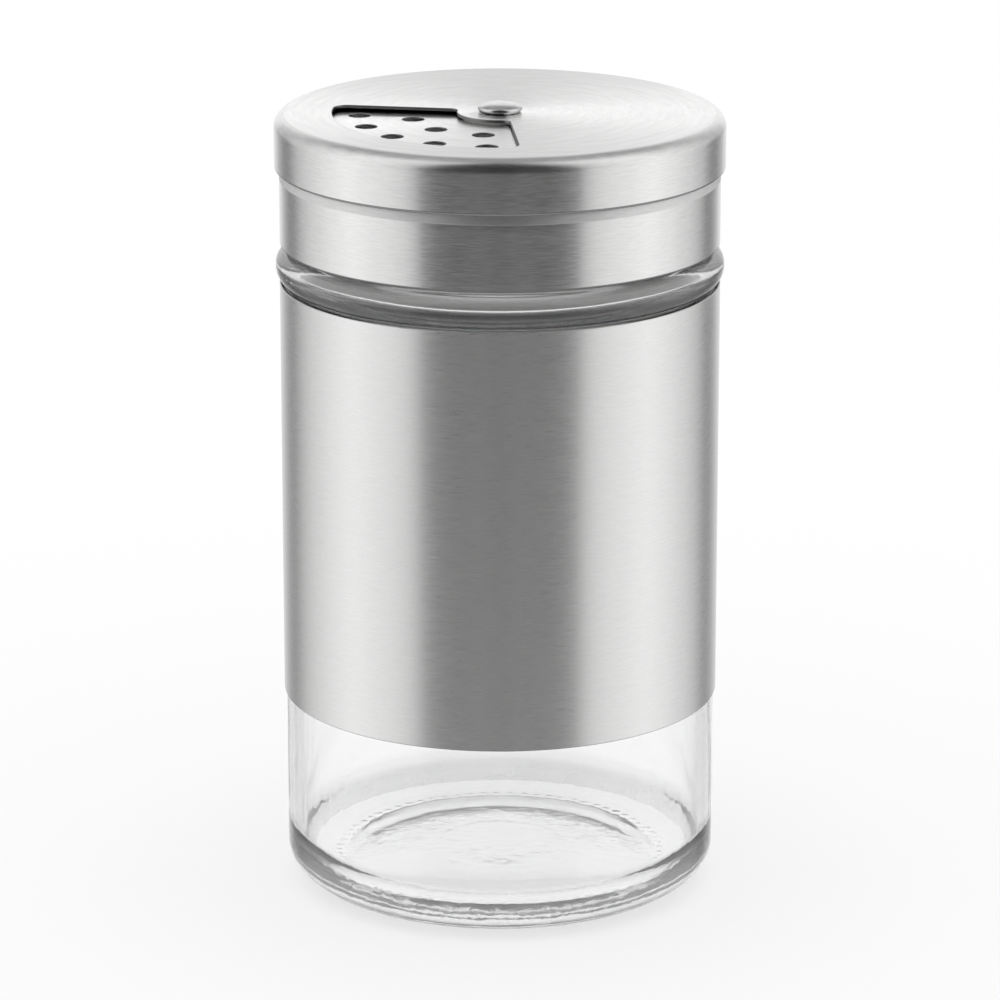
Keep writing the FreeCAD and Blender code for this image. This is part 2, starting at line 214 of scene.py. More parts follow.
def thread_tree():
    """Raises a round helical ridge, faded out at both ends, on a wall of the given radius."""
    tree, given = new_tree("Screw thread", [
        ("Wall Radius", "Float"), ("Depth", "Float"), ("Width", "Float"), ("Pitch", "Float"),
        ("Turns", "Float"), ("Start Height", "Float"), ("Start Turn", "Float"),
        ("Fade Turns", "Float"), ("Material", "Material")])
    parts = tree.nodes.new("ShaderNodeSeparateXYZ")
    tree.links.new(add(tree, "GeometryNodeInputPosition"), parts.inputs[0])
    x, y, z = parts.outputs
    flat = add(tree, "ShaderNodeCombineXYZ", x, y, 0.0)
    radius_node = tree.nodes.new("ShaderNodeVectorMath")
    radius_node.operation = "LENGTH"
    tree.links.new(flat, radius_node.inputs[0])
    radius = radius_node.outputs["Value"]
    turn = math_node(tree, "DIVIDE", math_node(tree, "ARCTAN2", y, x), 2 * math.pi)
    turn = math_node(tree, "SUBTRACT", turn, given["Start Turn"])
    climbed = math_node(
        tree, "DIVIDE", math_node(tree, "SUBTRACT", z, given["Start Height"]), given["Pitch"])
    off = math_node(tree, "SUBTRACT", climbed, turn)
    off = math_node(tree, "SUBTRACT", off, math_node(tree, "ROUND", off))
    along = math_node(tree, "SUBTRACT", climbed, off)
    aside = math_node(tree, "MULTIPLY", math_node(tree, "ABSOLUTE", off), given["Pitch"])
    aside = math_node(tree, "DIVIDE", math_node(tree, "MULTIPLY", aside, 2.0), given["Width"])
    hump = math_node(tree, "SUBTRACT", 1.0, math_node(tree, "POWER", aside, 2.0))
    hump = math_node(tree, "POWER", math_node(tree, "MAXIMUM", hump, 0.0), thread_crest_power)
    left = math_node(tree, "SUBTRACT", given["Turns"], along)
    nearest_end = math_node(tree, "MINIMUM", along, left)
    fade = add(tree, "ShaderNodeMapRange", nearest_end, 0.0, given["Fade Turns"], 0.0, 1.0,
               interpolation_type="SMOOTHSTEP")
    gap = math_node(tree, "ABSOLUTE", math_node(tree, "SUBTRACT", radius, given["Wall Radius"]))
    on_wall = math_node(tree, "LESS_THAN", gap, WALL_TOLERANCE)
    rise = math_node(tree, "MULTIPLY", math_node(tree, "MULTIPLY", hump, fade), given["Depth"])
    rise = math_node(tree, "MULTIPLY", rise, on_wall)
    outward = add(tree, "ShaderNodeVectorMath", flat, operation="NORMALIZE")
    shift = tree.nodes.new("ShaderNodeVectorMath")
    shift.operation = "SCALE"
    tree.links.new(outward, shift.inputs["Vector"])
    tree.links.new(rise, shift.inputs["Scale"])
    moved = add(tree, "GeometryNodeSetPosition", given["Geometry"], None, None, shift.outputs["Vector"])
    close_tree(tree, moved, given["Material"])
    return tree


def stipple_tree():
    """Presses a ring of small round dents into the flat ring that the jar stands on."""
    tree, given = new_tree("Stippled ring", [
        ("Inner Radius", "Float"), ("Outer Radius", "Float"), ("Count", "Int"), ("Depth", "Float"),
        ("Material", "Material")])
    parts = tree.nodes.new("ShaderNodeSeparateXYZ")
    tree.links.new(add(tree, "GeometryNodeInputPosition"), parts.inputs[0])
    x, y, z = parts.outputs
    radius = distance_out(tree, x, y)
    turn = math_node(tree, "MULTIPLY", math_node(tree, "ARCTAN2", y, x), given["Count"])
    wave = math_node(tree, "MAXIMUM", math_node(tree, "SINE", turn), 0.0)
    across = add(
        tree, "ShaderNodeMapRange", radius, given["Inner Radius"], given["Outer Radius"], 0.0, math.pi)
    swell = math_node(tree, "SINE", across)
    low = math_node(tree, "LESS_THAN", z, stipple_reach)
    dent = math_node(tree, "MULTIPLY", math_node(tree, "MULTIPLY", wave, swell), given["Depth"])
    lift = add(tree, "ShaderNodeCombineXYZ", 0.0, 0.0, math_node(tree, "MULTIPLY", dent, low))
    moved = add(tree, "GeometryNodeSetPosition", given["Geometry"], None, None, lift)
    close_tree(tree, moved, given["Material"])
    return tree


def grow(piece, tree, values):
    """Put a geometry tree on a piece as a modifier and set its inputs by their identifiers."""
    modifier = piece.modifiers.new(tree.name, "NODES")
    modifier.node_group = tree
    labels = {item.name: item.identifier for item in tree.interface.items_tree if item.in_out == "INPUT"}
    for label, value in values.items():
        modifier[labels[label]] = value
    return modifier


def settle(piece):
    """Turn a piece and its modifiers into one plain mesh."""
    bpy.context.view_layer.update()
    seen = piece.evaluated_get(bpy.context.evaluated_depsgraph_get())
    plain = bpy.data.meshes.new_from_object(seen)
    piece.modifiers.clear()
    piece.data = plain
    plain.name = piece.name
    return piece


def turned_piece(name, outline, material, closed=True):
    """A piece turned from an outline that runs with its solid on the left hand; not yet settled."""
    if closed:
        outline = outline + [outline[0]]
    mesh = bpy.data.meshes.new(name)
    corners = [(radius, 0, height) for radius, height in outline]
    mesh.from_pydata(corners, [(index, index + 1) for index in range(len(corners) - 1)], [])
    piece = bpy.data.objects.new(name, mesh)
    bpy.context.scene.collection.objects.link(piece)
    grow(piece, turning, {"Steps Around": STEPS_AROUND, "Material": material})
    return piece


def even_shading(piece):
    """Shade by face area, so that wide faces stay flat beside their rounded edges."""
    modifier = piece.modifiers.new("Even shading", "WEIGHTED_NORMAL")
    modifier.weight = 100
    modifier.keep_sharp = True


def new_material(name):
    """A node material with its Principled shader and Object coordinates."""
    material = bpy.data.materials.new(name)
    material.use_nodes = True
    tree = material.node_tree
    shader = tree.nodes["Principled BSDF"]
    place = tree.nodes.new("ShaderNodeTexCoord").outputs["Object"]
    return material, tree, shader, place


def clear_glass():
    """Colourless glass, wavy all over, and rippled and a little hazy at the foot where it was chilled."""
    material, tree, shader, place = new_material("Clear jar glass")
    shader.inputs["IOR"].default_value = glass_ior
    parts = tree.nodes.new("ShaderNodeSeparateXYZ")
    tree.links.new(place, parts.inputs[0])
    x, y, z = parts.outputs
    drawn_out = add(tree, "ShaderNodeCombineXYZ", x, y, math_node(tree, "MULTIPLY", z, wave_stretch))
    wave = add(tree, "ShaderNodeTexNoise", drawn_out, wave_scale, 2.0, 0.5)
    ripple = add(tree, "ShaderNodeTexNoise", place, ripple_scale, 3.0, 0.55)
    foot = add(tree, "ShaderNodeMapRange", z, ripple_top, ripple_top / 3, 0.0, 1.0,
               interpolation_type="SMOOTHSTEP")
    tree.links.new(math_node(tree, "MULTIPLY", foot, ripple_roughness), shader.inputs["Roughness"])
    radius = distance_out(tree, x, y)
    outside = math_node(tree, "GREATER_THAN", radius, glass_bore + glass_wall / 4)
    below = add(tree, "ShaderNodeMapRange", z, haze_top, haze_top / 2, 0.0, 1.0)
    heel = math_node(tree, "MULTIPLY", outside, below)
    patches = add(tree, "ShaderNodeTexNoise", place, haze_scale, 1.5, 0.5)
    patches = add(tree, "ShaderNodeMapRange", patches, *haze_contrast, heel_haze, heel_haze + patch_haze)
    haze = math_node(tree, "MULTIPLY", heel, patches)
    haze = math_node(tree, "ADD", haze, math_node(tree, "MULTIPLY", foot, floor_haze))
    bead = add(tree, "ShaderNodeMapRange", z, bead_middle, bead_top, bead_haze, bead_top_haze)
    bead = math_node(tree, "MULTIPLY", bead, math_node(tree, "GREATER_THAN", z, groove_bottom))
    bead = math_node(tree, "MULTIPLY", bead, math_node(tree, "LESS_THAN", z, bead_top + neck_fillet))
    haze = math_node(tree, "ADD", haze, bead)
    tree.links.new(math_node(tree, "SUBTRACT", 1.0 - wall_haze, haze), shader.inputs["Transmission Weight"])
    tree.links.new(mixed(tree, wave, glass_tint_low, glass_tint_high), shader.inputs["Base Color"])
    depth = add(tree, "ShaderNodeMapRange", outside, 0.0, 1.0, ripple_share, heel_ripple_share)
    relief = math_node(tree, "MULTIPLY", math_node(tree, "MULTIPLY", ripple, foot), depth)
    bump = tree.nodes.new("ShaderNodeBump")
    bump.inputs["Strength"].default_value = relief_strength
    bump.inputs["Distance"].default_value = relief_height
    tree.links.new(math_node(tree, "ADD", wave, relief), bump.inputs["Height"])
    tree.links.new(bump.outputs["Normal"], shader.inputs["Normal"])
    return material


ring_outer = glass_radius - heel_run
ring_inner = ring_outer - bearing_width
glass_bore = glass_radius - glass_wall
turning = turning_tree()
threading = thread_tree()
stippling = stipple_tree()
glass = clear_glass()

body_end = groove_top - inner_shoulder_drop
neck_foot = body_end + inner_shoulder_rise
shoulder_middle = ((glass_bore + neck_bore) / 2, (body_end + neck_foot) / 2)
floor_edge = glass_bore - inner_heel
floor_middle = floor_height + floor_crown

jar_outline = [(0, punt_rise), (mould_mark_radius * mould_mark_flat_share, punt_rise)]
jar_outline += bent(
    jar_outline[-1], (mould_mark_radius, punt_rise),
    (mould_mark_radius, punt_rise - mould_mark_height), 8)
jar_outline += bent(
    jar_outline[-1], (ring_inner * punt_corner_share, punt_rise - mould_mark_height), (ring_inner, 0), 14)
jar_outline += straight(jar_outline[-1], (ring_outer, 0), 6)
jar_outline += bent(jar_outline[-1], (glass_radius, 0), (glass_radius, heel_rise), 20)
jar_outline += straight(jar_outline[-1], (glass_radius, groove_bottom - body_top_round), 12)
jar_outline += bent(jar_outline[-1], (glass_radius, groove_bottom), (groove_radius, groove_bottom), 6)
jar_outline += straight(jar_outline[-1], (groove_radius, groove_top), 2)
jar_outline += bent(jar_outline[-1], (bead_radius, groove_top), (bead_radius, bead_middle), 12)
jar_outline += bent(
    jar_outline[-1], (bead_radius, bead_top), (neck_radius + neck_fillet, bead_top), 12)
jar_outline += bent(jar_outline[-1], (neck_radius, bead_top), (neck_radius, bead_top + neck_fillet), 6)
jar_outline += straight(jar_outline[-1], (neck_radius, rim_height - rim_round), 64)
jar_outline += bent(
    jar_outline[-1], (neck_radius, rim_height), (neck_radius - rim_round, rim_height), 6)
jar_outline += straight(jar_outline[-1], (neck_bore + rim_round, rim_height), 2)
jar_outline += bent(jar_outline[-1], (neck_bore, rim_height), (neck_bore, rim_height - rim_round), 6)
jar_outline += straight(jar_outline[-1], (neck_bore, neck_foot), 3)
jar_outline += bent(
    jar_outline[-1], (neck_bore, neck_foot - inner_shoulder_rise / 3), shoulder_middle, 8)
jar_outline += bent(
    jar_outline[-1], (glass_bore, body_end + inner_shoulder_rise / 3), (glass_bore, body_end), 8)
jar_outline += straight(jar_outline[-1], (glass_bore, floor_height + inner_heel), 10)
jar_outline += bent(jar_outline[-1], (glass_bore, floor_height), (floor_edge, floor_height), 16)
jar_outline += bent(jar_outline[-1], (floor_edge / 2, floor_middle), (0, floor_middle), 12)

jar = turned_piece("jar_glass", jar_outline, glass, closed=False)
grow(jar, threading, {
    "Wall Radius": neck_radius, "Depth": thread_depth, "Width": thread_width, "Pitch": thread_pitch,
    "Turns": thread_turns, "Start Height": thread_start, "Start Turn": 0.0, "Fade Turns": thread_fade,
    "Material": glass})
grow(jar, stippling, {
    "Inner Radius": ring_inner, "Outer Radius": ring_outer, "Count": stipple_count,
    "Depth": stipple_depth, "Material": glass})
even_shading(jar)
settle(jar)
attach(jar, "jar")
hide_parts("glass_jar")


# Steel sleeve
# A band of thin stainless sheet rolled round the jar and stuck to it, brushed round and round.
# It hides the middle of the jar and leaves the foot clear to show how full it is.

sleeve_outer = 0.0325
sleeve_sheet = 0.00025
sleeve_steel_light = (0.81, 0.81, 0.805)
sleeve_steel_dark = (0.75, 0.75, 0.747)
sleeve_roughness = 0.3
streak_roughness = 0.03
sheet_edge_round = 0.00011
punched_radius = 0.028
wall_normal = 0.1
steep_normal = 0.9
level_normal = 0.97
# Painted shade on the cut walls of the holes and the window; their extra roughness is real.
cut_shade = 0.38
cut_roughness = 0.45
# Painted shade on every face that looks down, such as the hem bottoms.
under_shade = 0.35
drawn_height = 0.1095
drawn_roughness = 0.5
brushed_anisotropy = 0.9
brushed_way = 0.25
colour_contrast = (0.38, 0.62)
gloss_contrast = (0.35, 0.65)
scratch_strength = 0.05
scratch_height = 0.00001
fine_lines = 6500.0
fine_length = 14.0
broad_lines = 1100.0
broad_length = 4.0
arc_depth = 0.24
grain = 0.9


def ring_outline(outer, inner, bottom, top, rounding, steps=3):
    """The outline of a ring with slightly rounded edges."""
    outline = [(outer, bottom + rounding)]
    outline += straight(outline[-1], (outer, top - rounding), 12)
    outline += bent(outline[-1], (outer, top), (outer - rounding, top), steps)
    outline += [(inner + rounding, top)]
    outline += bent(outline[-1], (inner, top), (inner, top - rounding), steps)
    outline += straight(outline[-1], (inner, bottom + rounding), 12)
    outline += bent(outline[-1], (inner, bottom), (inner + rounding, bottom), steps)
    outline += [(outer - rounding, bottom)]
    outline += bent(outline[-1], (outer, bottom), (outer, bottom + rounding), steps)[:-1]
    return outline


def round_brushed_steel(name, light, dark, roughness, streak, painted_top_light=1.0):
    """Stainless sheet brushed round the axis, on walls and tops alike, with dull, rougher edges where it is
    cut. Level tops are brightened by painted light, and the cut edges and the undersides are darkened by
    painted shade.
    """
    material, tree, shader, place = new_material(name)
    shader.inputs["Metallic"].default_value = 1.0
    shader.inputs["Anisotropic Rotation"].default_value = brushed_way
    parts = tree.nodes.new("ShaderNodeSeparateXYZ")
    tree.links.new(place, parts.inputs[0])
    x, y, z = parts.outputs
    radius = distance_out(tree, x, y)
    turn = math_node(tree, "ARCTAN2", y, x)
    round_x = math_node(tree, "COSINE", turn)
    round_y = math_node(tree, "SINE", turn)
    fine = math_node(tree, "MULTIPLY", math_node(tree, "ADD", radius, z), fine_lines)
    fine_place = add(
        tree, "ShaderNodeCombineXYZ", math_node(tree, "MULTIPLY", round_x, fine_length),
        math_node(tree, "MULTIPLY", round_y, fine_length), fine)
    scratches = add(tree, "ShaderNodeTexNoise", fine_place, 1.0, 3.0, 0.65)
    broad = math_node(tree, "MULTIPLY", math_node(tree, "ADD", radius, z), broad_lines)
    broad_place = add(
        tree, "ShaderNodeCombineXYZ", math_node(tree, "MULTIPLY", round_x, broad_length),
        math_node(tree, "MULTIPLY", round_y, broad_length), broad)
    bands = add(tree, "ShaderNodeTexNoise", broad_place, 1.0, 2.0, 0.5)
    both = math_node(tree, "ADD", math_node(tree, "MULTIPLY", scratches, grain),
                     math_node(tree, "MULTIPLY", bands, 1.0 - grain))
    spread = add(tree, "ShaderNodeMapRange", both, *colour_contrast, 0.0, 1.0)
    colour = mixed(tree, spread, (*dark, 1), (*light, 1))
    facing = tree.nodes.new("ShaderNodeSeparateXYZ")
    tree.links.new(tree.nodes.new("ShaderNodeNewGeometry").outputs["True Normal"], facing.inputs[0])
    upward = facing.outputs["Z"]
    tilt = math_node(tree, "ABSOLUTE", upward)
    level = math_node(tree, "GREATER_THAN", upward, level_normal)
    steep = math_node(tree, "LESS_THAN", tilt, steep_normal)
    # Painted shade: the cut walls of the holes and the window are darkened in colour by cut_shade below.
    cut = math_node(tree, "MULTIPLY", steep, math_node(tree, "LESS_THAN", radius, punched_radius))
    # Painted light: level tops have their colour scaled up by the top's gain, so they look more brightly
    # lit.
    gain = add(tree, "ShaderNodeMapRange", level, 0.0, 1.0, 1.0, painted_top_light)
    # Painted shade: faces that look down are darkened in colour by under_shade below.
    under = math_node(tree, "LESS_THAN", upward, -wall_normal)
    for where, shade in ((cut, cut_shade), (under, under_shade)):
        darker = add(tree, "ShaderNodeMapRange", where, 0.0, 1.0, 1.0, shade)
        gain = math_node(tree, "MULTIPLY", gain, darker)
    arcs = math_node(tree, "MULTIPLY", level, math_node(tree, "SUBTRACT", bands, 0.5))
    gain = math_node(tree, "MULTIPLY", gain, math_node(tree, "MULTIPLY_ADD", arcs, arc_depth, 1.0))
    shown = add(tree, "ShaderNodeVectorMath", colour, gain, operation="SCALE")
    tree.links.new(shown, shader.inputs["Base Color"])
    rough = add(
        tree, "ShaderNodeMapRange", both, *gloss_contrast, roughness - streak, roughness + streak)
    rough = math_node(tree, "MAXIMUM", rough, math_node(tree, "MULTIPLY", cut, cut_roughness))
    drawn = math_node(tree, "GREATER_THAN", tilt, wall_normal)
    drawn = math_node(tree, "MULTIPLY", drawn, math_node(tree, "GREATER_THAN", drawn_height, z))
    rough = math_node(tree, "MAXIMUM", rough, math_node(tree, "MULTIPLY", drawn, drawn_roughness))
    lined = add(tree, "ShaderNodeMapRange", drawn, 0.0, 1.0, brushed_anisotropy, 0.0)
    tree.links.new(lined, shader.inputs["Anisotropic"])
    tree.links.new(rough, shader.inputs["Roughness"])
    bump = tree.nodes.new("ShaderNodeBump")
    bump.inputs["Strength"].default_value = scratch_strength
    bump.inputs["Distance"].default_value = scratch_height
    tree.links.new(scratches, bump.inputs["Height"])
    tree.links.new(bump.outputs["Normal"], shader.inputs["Normal"])
    round_way = add(
        tree, "ShaderNodeCombineXYZ", math_node(tree, "MULTIPLY", round_y, -1.0), round_x, 0.0)
    way = add(tree, "ShaderNodeVectorTransform", round_way,
              vector_type="VECTOR", convert_from="OBJECT", convert_to="WORLD")
    tree.links.new(way, shader.inputs["Tangent"])
    return material


sleeve_steel = round_brushed_steel(
    "Brushed sleeve steel", sleeve_steel_light, sleeve_steel_dark, sleeve_roughness, streak_roughness)
sleeve = turned_piece(
    "sleeve_steel",
    ring_outline(sleeve_outer, sleeve_outer - sleeve_sheet, sleeve_low.z, sleeve_high.z, sheet_edge_round),
    sleeve_steel)
even_shading(sleeve)
settle(sleeve)
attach(sleeve, "jar")
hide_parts("steel_sleeve")


# Sleeve tapes
# Two bands of clear double-sided tape under the sleeve, which hold it to the glass.
# They are hidden once the jar is put together.

tape_nodes = ("sleeve_tape_lower", "sleeve_tape_upper")
tape_colour = (0.82, 0.82, 0.76)
tape_mottle = (0.7, 0.7, 0.64)
tape_roughness = 0.3
tape_cloud = 260.0
cloud_contrast = (0.35, 0.65)
cloud_gloss_contrast = (0.3, 0.7)
cloud_gloss_share = 0.15


def mottled(name, light, dark, roughness, scale, metal=0.0):
    """A plain finish with a faint mottle in its colour and its gloss."""
    material, tree, shader, place = new_material(name)
    shader.inputs["Metallic"].default_value = metal
    cloud = add(tree, "ShaderNodeTexNoise", place, scale, 3.0, 0.55)
    spread = add(tree, "ShaderNodeMapRange", cloud, *cloud_contrast, 0.0, 1.0)
    tree.links.new(mixed(tree, spread, (*dark, 1), (*light, 1)), shader.inputs["Base Color"])
    smoothest, roughest = roughness * (1 - cloud_gloss_share), roughness * (1 + cloud_gloss_share)
    gloss = add(tree, "ShaderNodeMapRange", cloud, *cloud_gloss_contrast, smoothest, roughest)
    tree.links.new(gloss, shader.inputs["Roughness"])
    return material


def finish_node(node, material):
    """Give a CAD node that stays in the scene its material."""
    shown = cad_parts[node]
    shown.data.materials.clear()
    shown.data.materials.append(material)


tape = mottled("Clear tape", tape_colour, tape_mottle, tape_roughness, tape_cloud)
for node in tape_nodes:
    finish_node(node, tape)


# Thread insert
# A moulded white plastic ring with the female thread, snapped into the steel lid above its hem.
# Its flange presses the sealing ring onto the glass and leaves the mouth open.

insert_low, insert_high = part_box("thread_insert")
insert_radius = insert_high.x
insert_wall = 0.0013
insert_collar = 0.03165
insert_slope_low = 0.107946
insert_slope_high = 0.109396
insert_corner = 0.001
insert_neck = 0.0299
insert_mouth = 0.024
insert_flange = 0.0012
insert_step = 0.10785
insert_edge = 0.00015
insert_thread_lift = 0.00135
insert_thread_start = insert_low.z + insert_thread_lift
insert_thread_phase = 0.5
plastic_roughness = 0.42
plastic_cloud = 90.0
plastic_light = (0.9, 0.9, 0.885)
plastic_dark = (0.84, 0.84, 0.825)

insert_root = insert_radius - insert_wall
flange_bottom = insert_high.z - insert_flange
insert_outline = [(insert_radius, insert_low.z + insert_edge)]
insert_outline += straight(insert_outline[-1], (insert_radius, insert_slope_low), 4)
insert_outline += straight(insert_outline[-1], (insert_collar, insert_slope_high), 4)
insert_outline += straight(insert_outline[-1], (insert_collar, insert_high.z - insert_corner), 4)
insert_outline += bent(
    insert_outline[-1], (insert_collar, insert_high.z), (insert_collar - insert_corner, insert_high.z), 5)
insert_outline += straight(insert_outline[-1], (insert_mouth + insert_edge, insert_high.z), 3)
insert_outline += bent(
    insert_outline[-1], (insert_mouth, insert_high.z), (insert_mouth, insert_high.z - insert_edge), 3)
insert_outline += straight(insert_outline[-1], (insert_mouth, flange_bottom + insert_edge), 2)
insert_outline += bent(
    insert_outline[-1], (insert_mouth, flange_bottom), (insert_mouth + insert_edge, flange_bottom), 3)
insert_outline += straight(insert_outline[-1], (insert_neck, flange_bottom), 4)
insert_outline += straight(insert_outline[-1], (insert_neck, insert_step), 4)
insert_outline += straight(insert_outline[-1], (insert_root, insert_step), 2)
insert_outline += straight(insert_outline[-1], (insert_root, insert_low.z + insert_edge), 44)
insert_outline += bent(
    insert_outline[-1], (insert_root, insert_low.z), (insert_root + insert_edge, insert_low.z), 3)
insert_outline += [(insert_radius - insert_edge, insert_low.z)]

plastic = mottled(
    "White moulded plastic", plastic_light, plastic_dark, plastic_roughness, plastic_cloud)
insert = turned_piece("insert_plastic", insert_outline, plastic)
grow(insert, threading, {
    "Wall Radius": insert_root, "Depth": -thread_depth, "Width": thread_width, "Pitch": thread_pitch,
    "Turns": thread_turns, "Start Height": insert_thread_start,
    "Start Turn": (insert_thread_start - thread_start) / thread_pitch - insert_thread_phase,
    "Fade Turns": thread_fade, "Material": plastic})
even_shading(insert)
settle(insert)
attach(insert, "lid")
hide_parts("thread_insert")


# Sealing ring
# A flat silicone ring that lies on the glass rim. The insert's flange squeezes it there when the
# lid is screwed down, so the spice stays dry.

seal_low, seal_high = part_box("sealing_ring")
seal_bore = 0.0256
seal_edge = 0.00025
seal_play = 0.00002
silicone_light = (0.86, 0.87, 0.87)
silicone_dark = (0.78, 0.79, 0.79)
silicone_roughness = 0.4
silicone_cloud = 70.0
silicone_glow = 0.3
silicone_glow_depth = 0.002

silicone = mottled(
    "Clear silicone", silicone_light, silicone_dark, silicone_roughness, silicone_cloud)
silicone_shader = silicone.node_tree.nodes["Principled BSDF"]
silicone_shader.inputs["Subsurface Weight"].default_value = silicone_glow
silicone_shader.inputs["Subsurface Scale"].default_value = silicone_glow_depth
seal = turned_piece(
    "seal_silicone",
    ring_outline(seal_high.x, seal_bore, seal_low.z + seal_play, seal_high.z - seal_play, seal_edge),
    silicone)
even_shading(seal)
settle(seal)
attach(seal, "seal")
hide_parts("sealing_ring")


# Screw lid
# One pressing of thin stainless sheet: a skirt with a folded hem, a shoulder, a set-in collar and a
# flat top. The top is punched with rows of coarse holes and of fine holes, and holds the rivet.

lid_low, lid_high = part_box("screw_lid")
lid_radius = lid_high.x
lid_sheet = 0.0004
lid_hem = 0.00115
lid_slope_low = 0.108
lid_slope_high = 0.10945
lid_slope_drop = 0.000047
lid_collar = 0.0321
lid_corner = 0.00135
lid_bore = 0.00203
# Painted light on the lid's flat top: its colour is made 1.2 times as bright.
lid_painted_top_light = 1.2
pressed_steel_light = (0.8, 0.8, 0.795)
pressed_steel_dark = (0.73, 0.73, 0.727)
pressed_roughness = 0.24
punch_edge = 0.00013
punch_run = 0.001
coarse_hole = 0.0016
coarse_rings = ((0.0206, 5, 21.8, -1.6), (0.0128, 3, 35.6, 0.8))
fine_hole = 0.0008
fine_rings = ((0.0216, 10), (0.0179, 8), (0.0142, 6), (0.0105, 4))
fine_sector = 78.0
window_middle = -137.2
setting_turn = 120.0


def punch_tree():
    """Copies the incoming punch to evenly spaced places on an arc about the axis."""
    tree, given = new_tree("Row of punches", [
        ("Ring Radius", "Float"), ("Count", "Int"), ("Spacing", "Float"), ("Middle Angle", "Float"),
        ("Material", "Material")])
    row = add(tree, "GeometryNodeMeshLine", given["Count"])
    index = add(tree, "GeometryNodeInputIndex")
    last = math_node(tree, "SUBTRACT", given["Count"], 1.0)
    step = math_node(tree, "SUBTRACT", index, math_node(tree, "DIVIDE", last, 2.0))
    angle = math_node(
        tree, "ADD", given["Middle Angle"], math_node(tree, "MULTIPLY", step, given["Spacing"]))
    place = add(
        tree, "ShaderNodeCombineXYZ",
        math_node(tree, "MULTIPLY", given["Ring Radius"], math_node(tree, "COSINE", angle)),
        math_node(tree, "MULTIPLY", given["Ring Radius"], math_node(tree, "SINE", angle)), 0.0)
    places = add(tree, "GeometryNodeSetPosition", row, None, place)
    copies = add(tree, "GeometryNodeInstanceOnPoints", places, None, given["Geometry"])
    close_tree(tree, copies, given["Material"])
    return tree


def row_of_punches(radius, ring_radius, count, spacing, middle):
    """Cutters for one row of holes, each flared where it leaves the top of the sheet."""
    top = lid_high.z
    outline = [(0, top - lid_sheet - punch_run), (radius, top - lid_sheet - punch_run)]
    outline += [(radius, top - punch_edge)]
    for step in range(1, 6):
        turn = math.pi / 2 * step / 5
        outline.append((
            radius + punch_edge * (1 - math.cos(turn)), top - punch_edge + punch_edge * math.sin(turn)))
    outline += [(radius + punch_edge, top + punch_run), (0, top + punch_run)]
    row = turned_piece("punches", outline, lid_steel, closed=False)
    row.modifiers[0][steps_label] = PUNCH_STEPS
    grow(row, punching, {
        "Ring Radius": ring_radius, "Count": count, "Spacing": math.radians(spacing),
        "Middle Angle": math.radians(middle), "Material": lid_steel})
    return settle(row)


def cut_away(piece, cutters):
    """Subtract the cutters from a piece once it is settled, and delete them."""
    for cutter in cutters:
        cut = piece.modifiers.new("Cut", "BOOLEAN")
        cut.operation = "DIFFERENCE"
        cut.solver = "EXACT"
        cut.object = cutter
    even_shading(piece)
    settle(piece)
    for cutter in cutters:
        bpy.data.objects.remove(cutter)


lid_steel = round_brushed_steel(
    "Brushed lid steel", pressed_steel_light, pressed_steel_dark, pressed_roughness, streak_roughness,
    lid_painted_top_light)
PUNCH_STEPS = 40
steps_label = next(item.identifier for item in turning.interface.items_tree if item.name == "Steps Around")
punching = punch_tree()

lid_inner = lid_radius - lid_sheet
lid_hem_inner = lid_inner - lid_sheet
collar_inner = lid_collar - lid_sheet
corner_inner = lid_corner - lid_sheet
plate_bottom = lid_high.z - lid_sheet
lid_outline = [(lid_hem_inner, lid_low.z + lid_sheet)]
lid_outline += bent(lid_outline[-1], (lid_hem_inner, lid_low.z), (lid_inner, lid_low.z), 5)
lid_outline += bent(lid_outline[-1], (lid_radius, lid_low.z), (lid_radius, lid_low.z + lid_sheet), 5)
lid_outline += straight(lid_outline[-1], (lid_radius, lid_slope_low), 8)
lid_outline += straight(lid_outline[-1], (lid_collar, lid_slope_high), 6)
lid_outline += straight(lid_outline[-1], (lid_collar, lid_high.z - lid_corner), 6)
lid_outline += bent(
    lid_outline[-1], (lid_collar, lid_high.z), (lid_collar - lid_corner, lid_high.z), 8)
lid_outline += straight(lid_outline[-1], (lid_bore, lid_high.z), 2)
lid_outline += straight(lid_outline[-1], (lid_bore, plate_bottom), 1)
lid_outline += straight(lid_outline[-1], (collar_inner - corner_inner, plate_bottom), 2)
lid_outline += bent(
    lid_outline[-1], (collar_inner, plate_bottom), (collar_inner, plate_bottom - corner_inner), 6)
lid_outline += straight(lid_outline[-1], (collar_inner, lid_slope_high - lid_slope_drop), 4)
lid_outline += straight(lid_outline[-1], (lid_inner, lid_slope_low - lid_slope_drop), 4)
lid_outline += straight(lid_outline[-1], (lid_inner, lid_low.z + lid_hem), 6)
lid_outline += straight(lid_outline[-1], (lid_hem_inner, lid_low.z + lid_hem), 1)

lid = turned_piece("lid_steel", lid_outline, lid_steel)
settle(lid)
punches = [
    row_of_punches(coarse_hole, ring, count, spacing, window_middle + turn)
    for ring, count, spacing, turn in coarse_rings]
punches += [
    row_of_punches(fine_hole, ring, count, fine_sector / (count - 1), window_middle + setting_turn)
    for ring, count in fine_rings]
cut_away(lid, punches)
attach(lid, "lid")
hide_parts("screw_lid")


# Pivot washers and spring
# A thin plastic washer lets the cap glide on the lid's top. Under the top, a coned spring washer
# and a flat steel washer are held by the rivet's tail and pull the cap down.

spring_light = (0.56, 0.56, 0.58)
spring_dark = (0.42, 0.42, 0.44)
spring_roughness = 0.36
spring_cloud = 500.0

